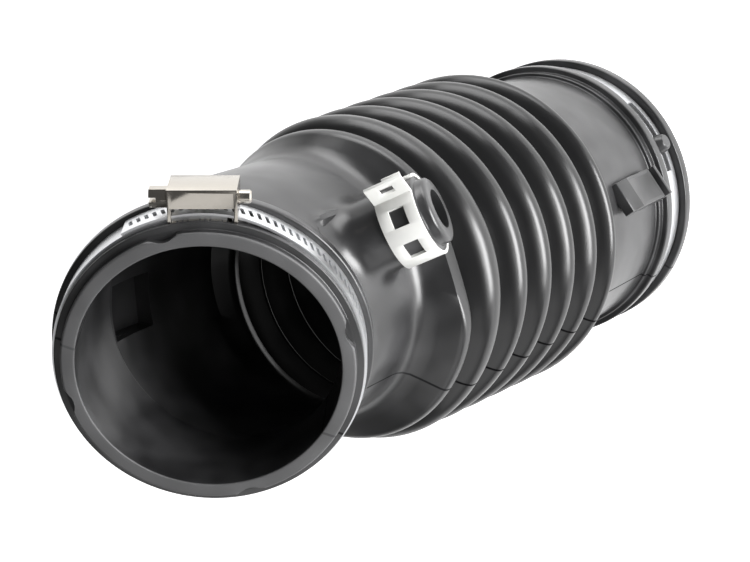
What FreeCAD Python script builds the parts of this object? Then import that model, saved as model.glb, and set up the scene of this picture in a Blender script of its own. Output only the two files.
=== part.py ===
"""Air intake pipe: a rubber bellows duct with a bent front cuff, a side spigot and its clamps.

Millimetres. The pipe stands on its rear cuff: the origin is the centre of that cuff's end and
+Z runs up the axis of the bellows. The front cuff leans towards +X.
"""
import FreeCAD, Part
import math
import os

V = FreeCAD.Vector
UP = V(0, 0, 1)

# Rear cuff, from its end upwards
REAR_SEAT_R = 52.3
REAR_SEAT_W = 12.0
REAR_CUFF_UNDER_SEAT = 0.8
REAR_CUFF_WALL = 4.8
END_BEAD_RISE = 3.4
END_BEAD_W = 4.5
BACK_BEAD_RISE = 2.9
BACK_BEAD_W = 4.5

# Bellows
FOLD_DEPTH = 9.9
CREST_PITCH = 16.9
CREST_COUNT = 6
CREST_FLAT = 3.4
CREST_TIP_WALL = 3.5
BELLOWS_Z = 71.0
BELLOWS_ROOT = 3.0
BELLOWS_WALL = 2.8
LAST_VALLEY_OVER_NECK = 1.4

# Shoulder between the bellows and the neck, set off towards the spigot
SHOULDER_X = 4.7
SHOULDER_Y = 3.3
SHOULDER_RISE = 7.6
SHOULDER_RIM = 4.5
SHOULDER_SLOPE = 6.0
RELIEF_BEYOND_SHOULDER = 1.4
RELIEF_ANGLE = 21.0

# Neck and elbow
NECK_X = -0.8
NECK_Y = 4.7
NECK_UNDER_SEAT = 1.5
NECK_WALL = 3.2
ELBOW_Z = 228.4
BEND_TILT = 34.5
BEND_AZIMUTH = -14.0
FRONT_LENGTH = 32.0

# Front cuff, measured back from its lip
FRONT_SEAT_R = 44.5
FRONT_SEAT_W = 11.9
FRONT_BAND_GAP = 0.25
FRONT_CUFF_WALL = 6.4
FRONT_LEG_UNDER_SEAT = 2.5
FRONT_BEAD_RISE = 2.7
FRONT_BEAD_W = 3.6
LIP_UNDER_SEAT = 2.2
LIP_DEPTH = 2.6
LIP_SCALLOPS = 4
LIP_SCALLOP_R = 5.0
LIP_SCALLOP_BITE = 1.8
LIP_SCALLOP_ANGLE = 105.0

# Breather spigot and the rib beside it
SPIGOT_REACH = 22.45
SPIGOT_ANGLE = 32.33
SPIGOT_RISE = 18.6
SPIGOT_TILT = 111.0
SPIGOT_AZIMUTH = 28.0
SPIGOT_R = 12.0
SPIGOT_NOSE = 1.6
SPIGOT_BORE_R = 6.2
SPIGOT_ROOT = 38.0
RIB_ANGLE = 49.0
RIB_R = 2.8
RIB_LENGTH = 48.0

# Lug and retaining button of the rear cuff
LUG_ANGLE = 39.0
LUG_PROUD = 1.9
LUG_SIDE_NEAR = 14.5
LUG_SIDE_FAR = 27.0
LUG_BOTTOM = 32.0
LUG_TOP = 51.0
LUG_SLOPE = 6.0
LUG_PLATE_Z = 27.4
LUG_PLATE_T = 2.2
LUG_PLATE_PROUD = 1.0
BUTTON_ANGLE = 31.0
BUTTON_STEM_R = 1.6
BUTTON_HEAD_R = 3.9
BUTTON_TOP_R = 2.9
BUTTON_HEAD_T = 3.2

# Blind pocket in the outer wall of the neck
POCKET_ANGLE = -176.0
POCKET_WIDTH = 18.0
POCKET_HEIGHT = 20.0
POCKET_Z = 225.0
POCKET_DEPTH = 2.5
POCKET_WALL = 3.5

# Clamps with a worm screw
BAND_T = 0.8
FRONT_BAND_W = 9.5
REAR_BAND_W = 9.4
SLOT_PITCH = 2.4
SLOT_W = 1.1
SLOT_LENGTH = 3.8
SLOT_SLANT = 16.0
SLOT_COUNT = 44
REAR_SLOT_COUNT = 16
TAIL_ANGLE = 30.0
RISE_ANGLE = 34.0
LAYER_GAP = 0.05
BRIDGE_LENGTH = 19.4
BRIDGE_T = 1.0
BRIDGE_SIDE_GAP = 0.2
SADDLE_T = 0.8
SADDLE_ROOM_RISE = 10.0
SADDLE_ROOM_SIDE = 0.6
WORM_R = 2.8
WORM_GAP = 0.3
JOURNAL_R = 1.9
JOURNAL_GAP = 0.15
HEAD_AF = 5.5
HEAD_LENGTH = 5.2
HEAD_SLOT_W = 1.2
HEAD_SLOT_D = 2.1
TIP_LENGTH = 3.6
FRONT_CLOSURE_ANGLE = 90.0
REAR_CLOSURE_ANGLE = 205.0
PEG_SLOT_SWEEP = 34.0
PEG_SLOT_W = 3.8
PEG_SLOT_ANGLE = 36.0

# Spring clamp of the spigot
SPRING_T = 1.0
SPRING_W = 12.0
SPRING_SETBACK = 9.5
EAR_HEIGHT = 7.0
TONGUE_HEIGHT = 2.0
EAR_GAP_ANGLE = 36.0
EAR_SLOT_W = 4.4
EAR_SLOT_H = 2.6
TONGUE_W = 6.0
WINDOW_W = 5.0
WINDOW_ANGLE = 26.0
WINDOW_PLACES = (141.0, 190.0)
EAR_ANGLE = 30.0

# Whole turn in degrees, and how far a cutting tool runs past the face it opens
TURN = 360.0
CUT_OVER = 1.0


def direction(tilt, azimuth):
    """Unit vector tilted from +Z towards an azimuth about +Z, in degrees."""
    t = math.radians(tilt)
    a = math.radians(azimuth)
    return V(math.sin(t) * math.cos(a), math.sin(t) * math.sin(a), math.cos(t))


def polar(radius, angle, z=0.0):
    """Point at a radius and an angle about +Z."""
    a = math.radians(angle)
    return V(radius * math.cos(a), radius * math.sin(a), z)


def revolved(points):
    """Solid of revolution about +Z from (radius, height) corners."""
    corners = [V(r, 0, z) for r, z in points]
    wire = Part.makePolygon(corners + corners[:1])
    return Part.Face(wire).revolve(V(0, 0, 0), UP, TURN)


def extruded(points, z0, height):
    """Prism along +Z over a flat outline."""
    corners = [V(x, y, z0) for x, y in points]
    wire = Part.makePolygon(corners + corners[:1])
    return Part.Face(wire).extrude(V(0, 0, height))


def box(x0, x1, y0, y1, z0, z1):
    return Part.makeBox(x1 - x0, y1 - y0, z1 - z0, V(x0, y0, z0))


def moved(shape, origin, axis, up):
    """Carry a shape built about +Z to an axis through origin, with its +Y towards up."""
    turn = FreeCAD.Rotation(V(0, 0, 0), up, axis, "ZYX")
    out = shape.copy()
    out.Placement = FreeCAD.Placement(origin, turn).multiply(out.Placement)
    return out


# Places worked out from the sizes above
NECK_R = FRONT_SEAT_R - NECK_UNDER_SEAT
NECK_BORE_R = NECK_R - NECK_WALL
FRONT_BORE_R = FRONT_SEAT_R - FRONT_CUFF_WALL
FRONT_LEG_R = FRONT_SEAT_R - FRONT_LEG_UNDER_SEAT
FRONT_BEAD_R = FRONT_SEAT_R + FRONT_BEAD_RISE
LIP_R = FRONT_SEAT_R - LIP_UNDER_SEAT
POCKET_R = NECK_R + POCKET_DEPTH
REAR_CUFF_R = REAR_SEAT_R - REAR_CUFF_UNDER_SEAT
REAR_BORE_R = REAR_CUFF_R - REAR_CUFF_WALL
END_BEAD_R = REAR_SEAT_R + END_BEAD_RISE
BACK_BEAD_R = REAR_SEAT_R + BACK_BEAD_RISE
LUG_REACH = REAR_CUFF_R + LUG_PROUD
REAR_SEAT_Z = END_BEAD_W
BACK_BEAD_Z = REAR_SEAT_Z + REAR_SEAT_W
VALLEY_R = REAR_BORE_R + BELLOWS_WALL
LAST_VALLEY_R = NECK_R + LAST_VALLEY_OVER_NECK
CREST_R = VALLEY_R + FOLD_DEPTH
CREST_TAPER = (VALLEY_R - LAST_VALLEY_R) / CREST_COUNT
SHOULDER_R = LAST_VALLEY_R + SHOULDER_RISE
RELIEF_R = SHOULDER_R + RELIEF_BEYOND_SHOULDER
SHOULDER_Z = BELLOWS_Z + CREST_PITCH * CREST_COUNT
NECK_Z = SHOULDER_Z + SHOULDER_RIM + SHOULDER_SLOPE
NECK_FOOT = V(NECK_X, NECK_Y, SHOULDER_Z)
SHOULDER_FOOT = V(SHOULDER_X, SHOULDER_Y, SHOULDER_Z)
BELLOWS_FOOT = V(0, 0, BELLOWS_Z)
BELLOWS_RUN = SHOULDER_FOOT - BELLOWS_FOOT
ELBOW = V(NECK_X, NECK_Y, ELBOW_Z)
FRONT_AXIS = direction(BEND_TILT, BEND_AZIMUTH)
LIP_CENTRE = ELBOW + FRONT_AXIS * FRONT_LENGTH
FRONT_SIDE = V(0, 1, 0).cross(FRONT_AXIS).normalize()
FRONT_UP = FRONT_AXIS.cross(FRONT_SIDE)
FRONT_BEAD_BACK = LIP_DEPTH + FRONT_SEAT_W
FRONT_CUFF_BACK = FRONT_BEAD_BACK + FRONT_BEAD_W
SPIGOT_MOUTH = NECK_FOOT + polar(NECK_R + SPIGOT_REACH, SPIGOT_ANGLE, SPIGOT_RISE)
SPIGOT_AXIS = direction(SPIGOT_TILT, SPIGOT_AZIMUTH)
SPIGOT_UP = UP.cross(SPIGOT_AXIS).cross(SPIGOT_AXIS).normalize() * -1


def folds(root_r, crest_r, flat):
    """Row of tapering folds, leaning from the rear cuff to the shoulder and rooted in both."""
    pitch = BELLOWS_RUN.Length / CREST_COUNT
    slope = (crest_r - root_r) / (pitch - flat) * 2
    points = [(0, -BELLOWS_ROOT), (root_r - slope * BELLOWS_ROOT, -BELLOWS_ROOT)]
    for i in range(CREST_COUNT):
        crest = crest_r - i * CREST_TAPER
        middle = (i + 0.5) * pitch
        points += [(crest, middle - flat / 2), (crest, middle + flat / 2)] if flat else [(crest, middle)]
        points.append((root_r - (i + 1) * CREST_TAPER, (i + 1) * pitch))
    end = BELLOWS_RUN.Length + BELLOWS_ROOT
    points += [(points[-1][0], end), (0, end)]
    return moved(revolved(points), BELLOWS_FOOT, BELLOWS_RUN, V(0, 1, 0))


def rear_cuff():
    """End bead, band seat, back bead and plain length, still filled."""
    back = BACK_BEAD_Z + BACK_BEAD_W
    top = BELLOWS_Z + BELLOWS_ROOT
    return revolved([(0, 0), (END_BEAD_R, 0), (END_BEAD_R, END_BEAD_W), (REAR_SEAT_R, END_BEAD_W),
                     (REAR_SEAT_R, BACK_BEAD_Z), (BACK_BEAD_R, BACK_BEAD_Z), (BACK_BEAD_R, back),
                     (REAR_CUFF_R, back), (REAR_CUFF_R, top), (0, top)])


def shoulder():
    """Flange with a top that slopes in to the neck."""
    rim = SHOULDER_FOOT + UP * SHOULDER_RIM
    flange = Part.makeCylinder(SHOULDER_R, SHOULDER_RIM, SHOULDER_FOOT)
    low = Part.Wire(Part.Circle(rim, UP, SHOULDER_R).toShape())
    high = Part.Wire(Part.Circle(V(NECK_X, NECK_Y, NECK_Z), UP, NECK_R).toShape())
    return flange.fuse(Part.makeLoft([low, high], True, True)).cut(shoulder_relief())


def shoulder_relief():
    """Space beside the spigot where the shoulder's rim is flattened."""
    reach = SHOULDER_R * 2
    block = box(RELIEF_R, reach, -reach, reach, SHOULDER_Z, NECK_Z)
    block.rotate(V(0, 0, 0), UP, RELIEF_ANGLE)
    return block


def above_mitre():
    """Half space in front of the plane that halves the bend."""
    middle = (UP + FRONT_AXIS).normalize()
    reach = ELBOW_Z
    return moved(box(-reach, reach, -reach, reach, 0, reach), ELBOW, middle, V(0, 1, 0))


def neck(radius, foot):
    """Straight leg from a foot up to the mitre of the bend."""
    leg = Part.makeCylinder(radius, ELBOW_Z - foot + 2 * radius, V(NECK_X, NECK_Y, foot))
    return leg.cut(above_mitre())


def front_leg(radius, reach):
    """Leg along the front cuff's axis, rooted inside the neck."""
    root = FRONT_LENGTH / 2
    return Part.makeCylinder(radius, root + reach, ELBOW - FRONT_AXIS * root, FRONT_AXIS)


def front_cuff():
    """Lip, band seat and bead of the front cuff about its own axis, still filled."""
    points = [(0, -FRONT_CUFF_BACK), (FRONT_BEAD_R, -FRONT_CUFF_BACK), (FRONT_BEAD_R, -FRONT_BEAD_BACK),
              (FRONT_SEAT_R, -FRONT_BEAD_BACK), (FRONT_SEAT_R, -LIP_DEPTH), (LIP_R, -LIP_DEPTH),
              (LIP_R, 0), (0, 0)]
    cuff = revolved(points)
    scallop_r = LIP_R + LIP_SCALLOP_R - LIP_SCALLOP_BITE
    for i in range(LIP_SCALLOPS):
        place = polar(scallop_r, LIP_SCALLOP_ANGLE + i * TURN / LIP_SCALLOPS, -LIP_DEPTH)
        cuff = cuff.cut(Part.makeCylinder(LIP_SCALLOP_R, LIP_DEPTH + CUT_OVER, place))
    return moved(cuff, LIP_CENTRE, FRONT_AXIS, FRONT_UP)


def spigot():
    """Breather nozzle with a rounded-off mouth, still filled."""
    nose = SPIGOT_R - SPIGOT_NOSE
    points = [(0, -SPIGOT_ROOT), (SPIGOT_R, -SPIGOT_ROOT), (SPIGOT_R, -SPIGOT_NOSE), (nose, 0), (0, 0)]
    return moved(revolved(points), SPIGOT_MOUTH, SPIGOT_AXIS, SPIGOT_UP)


def neck_rib():
    """Half-round rib along the neck, from the shoulder towards the front cuff."""
    foot = NECK_FOOT + polar(NECK_R - RIB_R / 2, RIB_ANGLE)
    rib = Part.makeCylinder(RIB_R, RIB_LENGTH, foot)
    return rib.fuse(Part.makeSphere(RIB_R, foot + UP * RIB_LENGTH))


def lug():
    """Block with a sloped top and a thin plate below it, square to the lug's own facing."""
    inner = REAR_CUFF_R / 2
    side = [(inner, LUG_BOTTOM), (LUG_REACH, LUG_BOTTOM), (LUG_REACH, LUG_TOP),
            (REAR_CUFF_R, LUG_TOP + LUG_SLOPE), (inner, LUG_TOP + LUG_SLOPE)]
    corners = [V(r, -LUG_SIDE_FAR, z) for r, z in side]
    width = LUG_SIDE_FAR - LUG_SIDE_NEAR
    block = Part.Face(Part.makePolygon(corners + corners[:1])).extrude(V(0, width, 0))
    plate = box(inner, LUG_REACH + LUG_PLATE_PROUD, -LUG_SIDE_FAR, -LUG_SIDE_NEAR,
                LUG_PLATE_Z, LUG_PLATE_Z + LUG_PLATE_T)
    both = block.fuse(plate)
    both.rotate(V(0, 0, 0), UP, LUG_ANGLE)
    return both


def button():
    """Stem and head that hold the rear band by its slot."""
    z = REAR_SEAT_Z + REAR_SEAT_W / 2
    out = polar(1, BUTTON_ANGLE)
    head_r = REAR_SEAT_R + BAND_T + LAYER_GAP
    root = out * (REAR_SEAT_R - BELLOWS_WALL / 2) + UP * z
    stem = Part.makeCylinder(BUTTON_STEM_R, head_r - root.dot(out) + BUTTON_HEAD_T / 2, root, out)
    head = Part.makeCone(BUTTON_HEAD_R, BUTTON_TOP_R, BUTTON_HEAD_T, out * head_r + UP * z, out)
    return stem.fuse(head)


def pocket(grow):
    """Block of the blind pocket, grown by a wall on its closed sides."""
    half_w = POCKET_WIDTH / 2 + grow
    half_h = POCKET_HEIGHT / 2 + grow
    block = box(NECK_R / 2, POCKET_R + grow, -half_w, half_w, -half_h, half_h)
    block.rotate(V(0, 0, 0), UP, POCKET_ANGLE)
    block.translate(V(NECK_X, NECK_Y, POCKET_Z))
    return block


def saddle_room(seat_r, band_w):
    """Shallow space in a band seat for the saddle under the closure, about the clamp's axis."""
    half = BRIDGE_LENGTH / 2 + BRIDGE_SIDE_GAP
    wide = band_w / 2 + BRIDGE_T + SADDLE_ROOM_SIDE
    ring = Part.makeCylinder(seat_r + SADDLE_ROOM_RISE, 2 * wide, V(0, 0, -wide))
    ring = ring.cut(Part.makeCylinder(seat_r - SADDLE_T - LAYER_GAP, 2 * wide, V(0, 0, -wide)))
    return ring.common(box(-half, half, 0, seat_r + SADDLE_ROOM_RISE, -wide, wide))


def front_clamp_place(shape):
    centre = LIP_CENTRE - FRONT_AXIS * (FRONT_BEAD_BACK - FRONT_BAND_GAP - FRONT_BAND_W / 2)
    a = math.radians(FRONT_CLOSURE_ANGLE)
    up = FRONT_SIDE * math.cos(a) + FRONT_UP * math.sin(a)
    return moved(shape, centre, FRONT_AXIS, up)


def rear_clamp_place(shape):
    centre = UP * (REAR_SEAT_Z + REAR_SEAT_W / 2)
    return moved(shape, centre, UP, polar(1, REAR_CLOSURE_ANGLE))


def intake_boot():
    """The whole rubber moulding."""
    skin = [folds(VALLEY_R, CREST_R, CREST_FLAT), shoulder(), neck(NECK_R, SHOULDER_Z),
            front_leg(FRONT_LEG_R, FRONT_LENGTH - LIP_DEPTH), front_cuff(), spigot(), neck_rib(), lug(),
            pocket(POCKET_WALL)]
    solid = rear_cuff().fuse(skin)
    nozzle_start = SPIGOT_MOUTH + SPIGOT_AXIS * CUT_OVER
    hollows = [Part.makeCylinder(REAR_BORE_R, BELLOWS_Z + BELLOWS_ROOT),
               folds(REAR_BORE_R, CREST_R - CREST_TIP_WALL, 0),
               neck(NECK_BORE_R, SHOULDER_Z),
               front_leg(FRONT_BORE_R, FRONT_LENGTH + CUT_OVER),
               Part.makeCylinder(SPIGOT_BORE_R, SPIGOT_ROOT + CUT_OVER, nozzle_start, SPIGOT_AXIS * -1),
               pocket(0),
               front_clamp_place(saddle_room(FRONT_SEAT_R, FRONT_BAND_W)),
               rear_clamp_place(saddle_room(REAR_SEAT_R, REAR_BAND_W))]
    for hollow in hollows:
        solid = solid.cut(hollow)
    return solid.fuse(button())


def band_outline(r_in):
    """Edges of a strip that runs once round, climbs over its own end and leaves a free tail."""
    lift = BAND_T + LAYER_GAP
    start = 90 - RISE_ANGLE / 4
    climb = 90 - RISE_ANGLE
    tail = 90 + TAIL_ANGLE

    def side(r):
        end = climb + TURN
        top = r + lift
        round_once = Part.Arc(polar(r, start), polar(r, (start + end) / 2), polar(r, end))
        over = Part.Arc(polar(r, climb), polar(r + lift / 2, (climb + start) / 2), polar(top, start))
        free = Part.Arc(polar(top, start), polar(top, (start + tail) / 2), polar(top, tail))
        return [round_once.toShape(), over.toShape(), free.toShape()]

    inside = side(r_in)
    outside = side(r_in + BAND_T)
    caps = [Part.makeLine(polar(r_in, start), polar(r_in + BAND_T, start)),
            Part.makeLine(polar(r_in + lift, tail), polar(r_in + lift + BAND_T, tail))]
    return Part.Wire(Part.__sortEdges__(inside + outside + caps))


def clamp_band(r_in, width, slots):
    """Clamp strip with a row of worm slots up to the end of its tail."""
    strip = Part.Face(band_outline(r_in)).extrude(V(0, 0, width))
    strip.translate(V(0, 0, -width / 2))
    pitch = math.degrees(SLOT_PITCH / r_in)
    overlap = 90 - RISE_ANGLE / 4
    cutters = []
    for i in range(slots):
        angle = 90 + TAIL_ANGLE - (i + 1) * pitch
        floor = r_in + BAND_T + LAYER_GAP / 2 if angle > overlap - pitch else r_in - BAND_T
        cutter = box(floor, r_in + 4 * BAND_T, -SLOT_W / 2, SLOT_W / 2, -SLOT_LENGTH / 2, SLOT_LENGTH / 2)
        cutter.rotate(V(0, 0, 0), V(1, 0, 0), SLOT_SLANT)
        cutter.rotate(V(0, 0, 0), UP, angle)
        cutters.append(cutter)
    return strip.cut(cutters) if cutters else strip


def front_clamp_band():
    return front_clamp_place(clamp_band(FRONT_SEAT_R, FRONT_BAND_W, SLOT_COUNT))


def rear_clamp_band():
    """Rear strip: short row of worm slots and a long slot for the button."""
    strip = clamp_band(REAR_SEAT_R, REAR_BAND_W, REAR_SLOT_COUNT)
    half = PEG_SLOT_W / 2
    ring = Part.makeCylinder(REAR_SEAT_R + 2 * BAND_T, PEG_SLOT_W, V(0, 0, -half), UP, PEG_SLOT_SWEEP)
    ring = ring.cut(Part.makeCylinder(REAR_SEAT_R - BAND_T, PEG_SLOT_W, V(0, 0, -half)))
    turn = PEG_SLOT_ANGLE - PEG_SLOT_SWEEP / 2 - REAR_CLOSURE_ANGLE + 90
    ring.rotate(V(0, 0, 0), UP, turn)
    return rear_clamp_place(strip.cut(ring))


def tail_top(r_in):
    """Height of the free tail's outer face over the clamp's axis."""
    return r_in + 2 * BAND_T + LAYER_GAP


def screw_height(r_in):
    return tail_top(r_in) + WORM_GAP + WORM_R


def clamp_housing(r_in, width):
    """Bridge over the screw, folded on into a saddle under the band."""
    half = BRIDGE_LENGTH / 2
    wide = width / 2 + BRIDGE_SIDE_GAP
    leg = wide + BRIDGE_T
    ceiling = screw_height(r_in) + WORM_R + WORM_GAP
    bridge = box(-half, half, r_in / 2, ceiling + BRIDGE_T, -leg, leg)
    bridge = bridge.cut(box(BRIDGE_T - half, half - BRIDGE_T, 0, ceiling, -leg, leg))
    saddle = Part.makeCylinder(r_in, 2 * leg, V(0, 0, -leg)).common(box(-half, half, 0, r_in * 2, -leg, leg))
    bridge = bridge.fuse(saddle).cut(Part.makeCylinder(r_in - SADDLE_T, 2 * leg, V(0, 0, -leg)))
    passage = Part.makeCylinder(tail_top(r_in) + LAYER_GAP, 2 * wide, V(0, 0, -wide))
    bridge = bridge.cut(passage.cut(Part.makeCylinder(r_in, 2 * wide, V(0, 0, -wide))))
    start = V(-2 * half, screw_height(r_in), 0)
    return bridge.cut(Part.makeCylinder(JOURNAL_R + JOURNAL_GAP, 4 * half, start, V(1, 0, 0)))


def clamp_screw(r_in):
    """Worm screw between the bridge's cheeks, with a slotted hexagon head."""
    half = BRIDGE_LENGTH / 2
    worm = half - BRIDGE_T - WORM_GAP
    head = half + WORM_GAP
    shaft = revolved([(0, -head), (JOURNAL_R, -head), (JOURNAL_R, -worm), (WORM_R, -worm), (WORM_R, worm),
                      (JOURNAL_R, worm), (JOURNAL_R, half + TIP_LENGTH), (0, half + TIP_LENGTH)])
    corner = HEAD_AF / 2 / math.cos(math.radians(30))
    hexagon = [(p.x, p.y) for p in (polar(corner, 60 * i) for i in range(6))]
    end = -head - HEAD_LENGTH
    cap = extruded(hexagon, end, HEAD_LENGTH)
    slot = box(-HEAD_AF, HEAD_AF, -HEAD_SLOT_W / 2, HEAD_SLOT_W / 2, end, end + HEAD_SLOT_D)
    screw = shaft.fuse(cap.cut(slot))
    screw.rotate(V(0, 0, 0), V(0, 1, 0), 90)
    screw.translate(V(0, screw_height(r_in), 0))
    return screw


def spring_clamp():
    """Spring strip round the spigot: two windows, a wide ear with a slot and a narrow ear."""
    r_out = SPIGOT_R + SPRING_T
    half = SPRING_W / 2
    ring = Part.makeCylinder(r_out, SPRING_W, V(0, 0, -half))
    ring = ring.cut(Part.makeCylinder(SPIGOT_R, SPRING_W, V(0, 0, -half)))
    gap = Part.makeCylinder(r_out * 2, SPRING_W, V(0, 0, -half), UP, EAR_GAP_ANGLE)
    gap.rotate(V(0, 0, 0), UP, 90 - EAR_GAP_ANGLE / 2)
    ring = ring.cut(gap)
    tall = r_out + EAR_HEIGHT
    wide_ear = box(SPIGOT_R, tall, 0, SPRING_T, -half, half)
    slot_r = tall - SPRING_T * 2 - EAR_SLOT_H
    half_slot = EAR_SLOT_W / 2
    wide_ear = wide_ear.cut(box(slot_r, slot_r + EAR_SLOT_H, -SPRING_T, 2 * SPRING_T, -half_slot, half_slot))
    wide_ear.rotate(V(0, 0, 0), UP, 90 + EAR_GAP_ANGLE / 2)
    narrow_ear = box(SPIGOT_R, r_out + TONGUE_HEIGHT, -SPRING_T, 0, -TONGUE_W / 2, TONGUE_W / 2)
    narrow_ear.rotate(V(0, 0, 0), UP, 90 - EAR_GAP_ANGLE / 2)
    windows = []
    for place in WINDOW_PLACES:
        window = Part.makeCylinder(r_out * 2, WINDOW_W, V(0, 0, -WINDOW_W / 2), UP, WINDOW_ANGLE)
        window.rotate(V(0, 0, 0), UP, place - WINDOW_ANGLE / 2)
        windows.append(window)
    clamp = ring.cut(windows).fuse([wide_ear, narrow_ear])
    centre = SPIGOT_MOUTH - SPIGOT_AXIS * SPRING_SETBACK
    a = math.radians(EAR_ANGLE)
    ear_way = SPIGOT_UP.cross(SPIGOT_AXIS) * math.cos(a) + SPIGOT_UP * math.sin(a)
    return moved(clamp, centre, SPIGOT_AXIS, ear_way)


def parts():
    """Every piece by its node's name."""
    return {
        "intake_boot": intake_boot(),
        "front_clamp_band": front_clamp_band(),
        "front_clamp_housing": front_clamp_place(clamp_housing(FRONT_SEAT_R, FRONT_BAND_W)),
        "front_clamp_screw": front_clamp_place(clamp_screw(FRONT_SEAT_R)),
        "rear_clamp_band": rear_clamp_band(),
        "rear_clamp_housing": rear_clamp_place(clamp_housing(REAR_SEAT_R, REAR_BAND_W)),
        "rear_clamp_screw": rear_clamp_place(clamp_screw(REAR_SEAT_R)),
        "spigot_spring_clamp": spring_clamp(),
    }


os.makedirs("parts", exist_ok=True)
for name, shape in parts().items():
    shape = shape.removeSplitter()
    shape.exportStep("parts/" + name + ".step")
    print(name, len(shape.Solids), shape.isValid(), round(shape.Volume), shape.BoundBox)
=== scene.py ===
"""Looks of a bellows air intake pipe with its worm clamps and spring clamp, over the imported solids."""

import math

import bmesh
import bpy
from bpy.props import FloatProperty, FloatVectorProperty, IntProperty, PointerProperty
from mathutils import Matrix, Vector


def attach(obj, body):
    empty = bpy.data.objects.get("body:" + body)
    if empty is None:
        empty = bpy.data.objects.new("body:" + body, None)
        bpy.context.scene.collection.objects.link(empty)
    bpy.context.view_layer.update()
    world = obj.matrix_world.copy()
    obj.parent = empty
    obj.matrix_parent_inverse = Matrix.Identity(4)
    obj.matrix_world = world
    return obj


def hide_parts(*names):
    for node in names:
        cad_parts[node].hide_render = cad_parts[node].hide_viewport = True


bl_info = {
    "name": "Air Intake Pipe",
    "version": (1, 0, 0),
    "blender": (4, 5, 0),
    "location": "View3D > Sidebar > Intake Pipe",
    "description": "Builds a moulded bellows intake pipe and its clamps around the packed solids",
    "category": "Object",
}

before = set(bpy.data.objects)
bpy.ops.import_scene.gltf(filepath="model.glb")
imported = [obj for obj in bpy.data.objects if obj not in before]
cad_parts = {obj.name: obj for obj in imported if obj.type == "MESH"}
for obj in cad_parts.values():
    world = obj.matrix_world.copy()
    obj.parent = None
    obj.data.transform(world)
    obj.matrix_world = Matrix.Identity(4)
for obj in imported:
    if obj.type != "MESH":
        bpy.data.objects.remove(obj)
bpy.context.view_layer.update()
MM = 0.001
Z_UP = Vector((0, 0, 1))

# Rear cuff, in mm: radius and station along the pipe from its rear end. The outer and inner skins meet at
# REAR_MEET_R, and each BACK is how far short of the folds a wall ends
REAR_BORE_R = 46.7
REAR_BORE_BACK = 6.0
REAR_BORE_ROUND = 1.0
REAR_MEET_R = REAR_BORE_R + 2.0
REAR_CUFF_R = 51.5
REAR_CUFF_BACK = 3.0
REAR_CUFF_ROUND = 1.5
END_BEAD_R = 55.7
END_BEAD_W = 4.5
REAR_SEAT_R = 52.3
REAR_SEAT_W = 12.0
BACK_BEAD_R = 55.2
BACK_BEAD_W = 4.5
BACK_STEP_R = 53.0
BACK_STEP_W = 3.0

# Bellows: folds that taper along a leaning axis
CREST_R = 59.4
CREST_PITCH = 16.9
CREST_COUNT = 6
CREST_FLAT = 3.4
CREST_WIDTH = 8.0
CREST_FALL = 2.3
CREST_TAPER = 0.85
VALLEY_R = 49.5
FOLD_WALL = 2.8
TIP_WALL = 3.5
TIP_ROUND = 1.0
BELLOWS_Z = 71.0
SHOULDER_Z = BELLOWS_Z + CREST_PITCH * CREST_COUNT
SHOULDER_XY = Vector((4.7, 3.3, 0))
LEAN = (SHOULDER_XY + Z_UP * (SHOULDER_Z - BELLOWS_Z)).normalized()

# Shoulder, neck and elbow. Forms added to the neck end at IN_WALL_R, inside its wall
SHOULDER_R = 52.0
SHOULDER_RIM = 4.5
SHOULDER_FOOT = 0.6
SHOULDER_FOOT_ROUND = 1.4
SHOULDER_ROUND = 2.0
NECK_Z = 183.2
NECK_XY = Vector((-0.8, 4.7, 0))
NECK_R = 43.0
NECK_ROUND = 5.0
NECK_BORE_R = 39.8
NECK_BORE_ROUND = 3.0
BORE_STEP = 0.6
BORE_STEP_ROUND = 0.3
IN_WALL_R = 41.3
ROOM_Z = 150.0
ROOM_HEIGHT = 90.0
RELIEF_R = 53.4
RELIEF_ANGLE = math.radians(21)
RELIEF_BLEND = 1.0
RELIEF_END = NECK_Z + 3.0
ELBOW_Z = 228.4
BEND_TILT = math.radians(34.5)
BEND_AZIMUTH = math.radians(-14)
FRONT_LENGTH = 32.0
BEND_TANGENT = 13.9
BEND_RADIUS = BEND_TANGENT / math.tan(BEND_TILT / 2)
BEND_START = ELBOW_Z - BEND_TANGENT
BEND_END = BEND_START + BEND_RADIUS * BEND_TILT
LIP_STATION = BEND_END + FRONT_LENGTH - BEND_TANGENT
BEND_OUT = Vector((math.cos(BEND_AZIMUTH), math.sin(BEND_AZIMUTH), 0))
FRONT_AXIS = Z_UP * math.cos(BEND_TILT) + BEND_OUT * math.sin(BEND_TILT)
FRONT_SIDE = Vector((0, 1, 0)).cross(FRONT_AXIS).normalized()
FRONT_UP = FRONT_AXIS.cross(FRONT_SIDE)

# Front cuff. Its outer and inner skins meet at LIP_MEET_R
FRONT_BORE_R = 38.1
LIP_MEET_R = FRONT_BORE_R + 1.0
FRONT_LEG_R = 42.0
FRONT_BEAD_R = 47.2
FRONT_BEAD_W = 3.6
FRONT_SEAT_R = 44.5
LIP_R = 42.3
LIP_DEPTH = 2.6
SCALLOP_R = 5.0
SCALLOP_BITE = 1.8
SCALLOP_COUNT = 4
SCALLOP_ANGLE = math.radians(105)
SCALLOP_START = LIP_STATION - LIP_DEPTH + 0.2

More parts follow.
